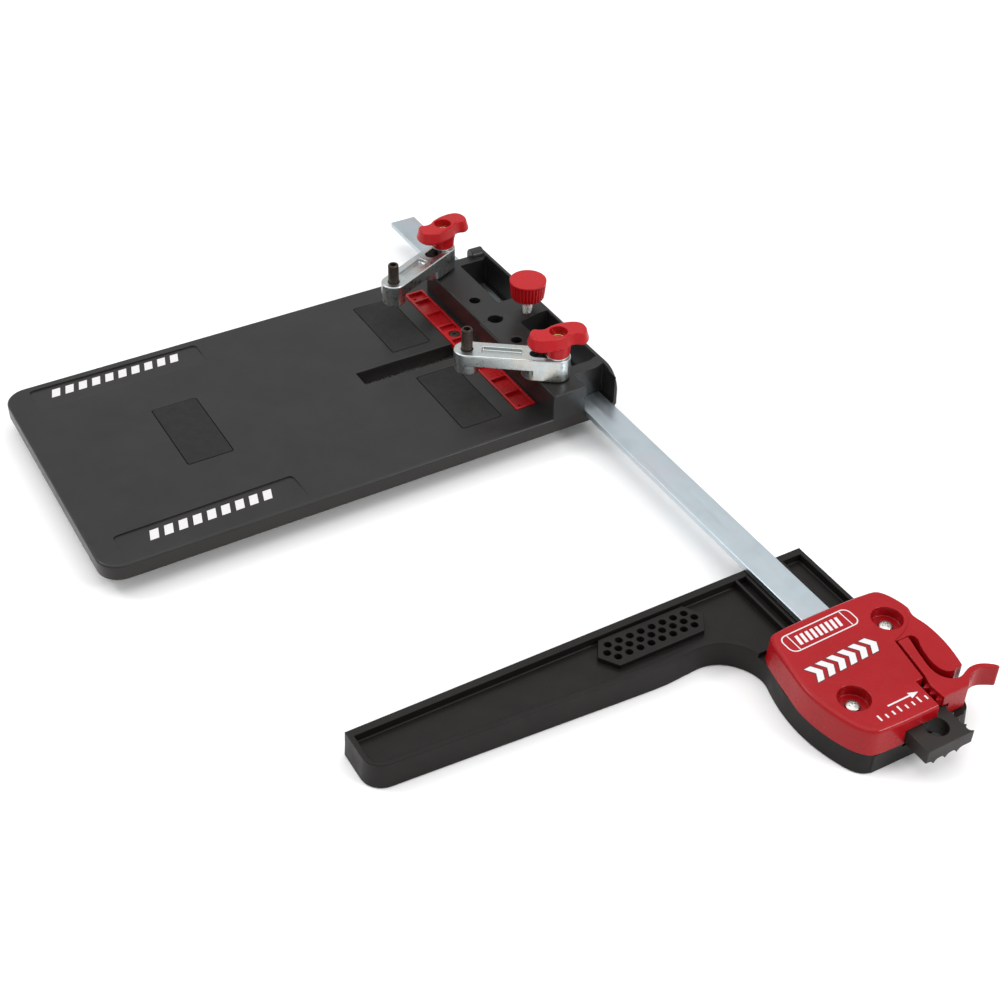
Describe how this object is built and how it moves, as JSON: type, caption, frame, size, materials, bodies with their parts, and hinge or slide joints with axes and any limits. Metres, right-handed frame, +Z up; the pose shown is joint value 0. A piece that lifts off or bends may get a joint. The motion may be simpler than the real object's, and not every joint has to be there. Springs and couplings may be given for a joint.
{
  "type": "circular saw edge guide",
  "caption": "Rip and edge guide for a portable saw: flat base plate with slotted clamp arms, sliding steel bar with screw lock, and an edge fence with micro-adjust rack.",
  "frame": {"origin": "centre of the area the saw stands on, on the base plate's top face", "axes": "+Z up out of the plate's top face, +Y along the guide bar away from the fence, +X across the plate towards the bar block"},
  "size_m": [0.369, 0.5806, 0.0711],
  "materials": {
    "plate_plastic": "moulded, fine satin grain",
    "fence_plastic": "moulded, satin",
    "rack_plastic": "moulded, dull",
    "red_plastic": "moulded, semi-gloss",
    "pad_rubber": "dull",
    "bar_zinc": "zinc plated, pale blue-grey",
    "arm_zinc": "cast, zinc plated",
    "bright_steel": "zinc plated",
    "dark_steel": "black oxide",
    "brass": "turned"
  },
  "bodies": {
    "base": {"base_plate": "plate_plastic", "grip_pad_mid": "pad_rubber", "grip_pad_far": "pad_rubber", "grip_pad_near": "pad_rubber", "ladder_insert": "red_plastic", "insert_screw": "dark_steel", "clamp_bolt_near": "bright_steel", "clamp_bolt_far": "bright_steel", "screw_nut": "brass"},
    "bar": {"guide_bar": "bar_zinc", "rack": "rack_plastic", "rack_rivet": "bright_steel"},
    "fence": {"fence_body": "fence_plastic", "fence_cover": "red_plastic", "cover_screw_near": "bright_steel", "cover_screw_far": "bright_steel"},
    "latch": {"latch_lever": "red_plastic"},
    "spacer_near": {"slot_spacer_near": "bright_steel"},
    "arm_near": {"clamp_arm_near": "arm_zinc"},
    "pin_near": {"set_pin_near": "dark_steel"},
    "washer_near": {"washer_near": "bright_steel"},
    "wing_near": {"wing_knob_near": "red_plastic", "thread_insert_near": "brass"},
    "spacer_far": {"slot_spacer_far": "bright_steel"},
    "arm_far": {"clamp_arm_far": "arm_zinc"},
    "pin_far": {"set_pin_far": "dark_steel"},
    "washer_far": {"washer_far": "bright_steel"},
    "wing_far": {"wing_knob_far": "red_plastic", "thread_insert_far": "brass"},
    "screw_pad": {"pressure_pad": "brass"},
    "thumb": {"thumb_knob": "red_plastic", "thumb_stud": "bright_steel"}
  },
  "joints": [
    {"name": "bar_slide", "type": "slide", "parent": "base", "child": "bar", "axis": [0, 1, 0], "range_m": [-0.15, 0.15]},
    {"name": "micro_adjust", "type": "slide", "parent": "bar", "child": "fence", "axis": [0, 1, 0], "range_m": [-0.0115, 0.0115]},
    {"name": "latch_press", "type": "hinge", "parent": "fence", "child": "latch", "pos_m": [0.1952, -0.3492, 0], "axis": [0, 0, 1], "range_deg": [0, 4], "stiffness_Nm_per_rad": 0.3},
    {"name": "arm_near_swivel", "type": "hinge", "parent": "base", "child": "spacer_near", "pos_m": [0.1532, -0.0761, 0.033], "axis": [0, 0, 1], "range_deg": [-30, 35]},
    {"name": "arm_near_slot", "type": "slide", "parent": "spacer_near", "child": "arm_near", "axis": [0.8064, -0.5913, 0], "range_m": [0, 0.0128]},
    {"name": "pin_near_screw", "type": "slide", "parent": "arm_near", "child": "pin_near", "axis": [0, 0, 1], "range_m": [-0.012, 0.006]},
    {"name": "washer_near_lift", "type": "slide", "parent": "base", "child": "washer_near", "axis": [0, 0, 1], "range_m": [0, 0.002]},
    {"name": "wing_near_turn", "type": "hinge", "parent": "washer_near", "child": "wing_near", "pos_m": [0.1532, -0.0761, 0.033], "axis": [0, 0, 1], "range_deg": [0, 720]},
    {"name": "arm_far_swivel", "type": "hinge", "parent": "base", "child": "spacer_far", "pos_m": [0.1534, 0.0706, 0.033], "axis": [0, 0, 1], "range_deg": [-35, 30]},
    {"name": "arm_far_slot", "type": "slide", "parent": "spacer_far", "child": "arm_far", "axis": [0.9003, 0.4352, 0], "range_m": [0, 0.0128]},
    {"name": "pin_far_screw", "type": "slide", "parent": "arm_far", "child": "pin_far", "axis": [0, 0, 1], "range_m": [-0.012, 0.006]},
    {"name": "washer_far_lift", "type": "slide", "parent": "base", "child": "washer_far", "axis": [0, 0, 1], "range_m": [0, 0.002]},
    {"name": "wing_far_turn", "type": "hinge", "parent": "washer_far", "child": "wing_far", "pos_m": [0.1534, 0.0706, 0.033], "axis": [0, 0, 1], "range_deg": [0, 720]},
    {"name": "pad_lift", "type": "slide", "parent": "base", "child": "screw_pad", "axis": [0, 0, 1], "range_m": [0, 0.002]},
    {"name": "thumb_turn", "type": "hinge", "parent": "screw_pad", "child": "thumb", "pos_m": [0.1735, -0.0067, 0.0297], "axis": [0, 0, 1], "range_deg": [0, 720]}
  ],
  "couplings": [
    {"joint": "wing_near_turn", "follows": "washer_near_lift", "rad_per_m": 6283.2},
    {"joint": "wing_far_turn", "follows": "washer_far_lift", "rad_per_m": 6283.2},
    {"joint": "thumb_turn", "follows": "pad_lift", "rad_per_m": 6283.2}
  ]
}
